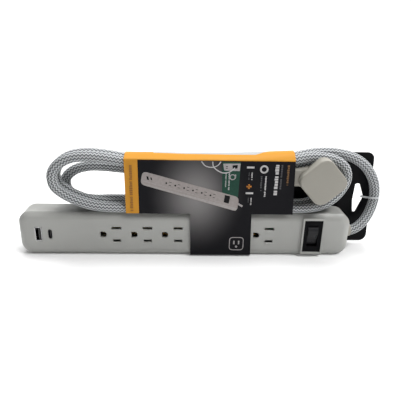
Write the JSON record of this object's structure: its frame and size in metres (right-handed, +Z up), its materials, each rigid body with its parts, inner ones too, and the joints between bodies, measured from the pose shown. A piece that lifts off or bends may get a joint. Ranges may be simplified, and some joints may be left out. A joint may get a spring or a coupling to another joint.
{
  "type": "power strip",
  "caption": "Power strip with outlets, USB ports and a rocker switch, its braided cord wound above it in a printed card sleeve.",
  "frame": {"origin": "middle of the long side that the strip stands on", "axes": "+X along the strip towards the cord, -Y the way the outlets face, +Z up"},
  "size_m": [0.3366, 0.0379, 0.1007],
  "materials": {
    "housing_plastic": "satin",
    "switch_plastic": "matte",
    "rocker_plastic": "satin",
    "steel": "satin",
    "usb_steel": "bright",
    "brass": "bright",
    "black_plastic": "matte",
    "board_green": "satin",
    "transformer_tape": "matte",
    "insulation_fibre": "matte",
    "varistor_blue": "gloss",
    "label_white": "matte",
    "lead_black": "matte",
    "lead_white": "matte",
    "lead_green": "matte",
    "lead_red": "matte",
    "cord_braid": "woven",
    "plug_plastic": "matte",
    "clamp_plastic": "matte",
    "sleeve_card": "coated card",
    "hang_card": "coated card",
    "clear_plastic": "clear"
  },
  "bodies": {
    "strip": {"front_cover": "housing_plastic", "back_cover": "housing_plastic", "housing_screws": "steel", "rating_label": "label_white", "switch_frame": "switch_plastic", "centre_terminal": "brass", "line_terminal": "brass", "hot_busbar": "brass", "neutral_busbar": "brass", "ground_busbar": "brass", "insulation_sheet": "insulation_fibre", "usb_board": "board_green", "usb_a_shell": "usb_steel", "usb_a_tongue": "black_plastic", "usb_c_shell": "usb_steel", "usb_c_tongue": "black_plastic", "usb_transformer": "transformer_tape", "usb_capacitors": "black_plastic", "board_screws": "steel", "varistor": "varistor_blue", "thermal_fuse": "steel", "line_lead": "lead_black", "neutral_lead": "lead_white", "ground_lead": "lead_green", "switched_lead": "lead_black", "usb_leads": "lead_red", "cord_grommet": "plug_plastic", "cord_clamp": "clamp_plastic", "clamp_screws": "steel", "cord": "cord_braid", "plug_body": "plug_plastic", "plug_boot": "plug_plastic", "line_blade": "brass", "neutral_blade": "brass", "ground_pin": "brass", "sleeve": "sleeve_card", "back_card": "hang_card", "card_tie": "clear_plastic"},
    "rocker_body": {"rocker": "rocker_plastic", "rocker_plunger": "steel", "plunger_spring": "steel"},
    "lever_body": {"contact_lever": "brass"}
  },
  "joints": [
    {"name": "rocker_pivot", "type": "hinge", "parent": "strip", "child": "rocker_body", "pos_m": [0.1169, -0.0095, 0.021], "axis": [1, 0, 0], "range_deg": [-22, 0]},
    {"name": "contact_pivot", "type": "hinge", "parent": "strip", "child": "lever_body", "pos_m": [0.1169, 0.0016, 0.021], "axis": [1, 0, 0], "range_deg": [0, 11]}
  ],
  "couplings": [
    {"joint": "contact_pivot", "follows": "rocker_pivot", "ratio": -0.5}
  ]
}
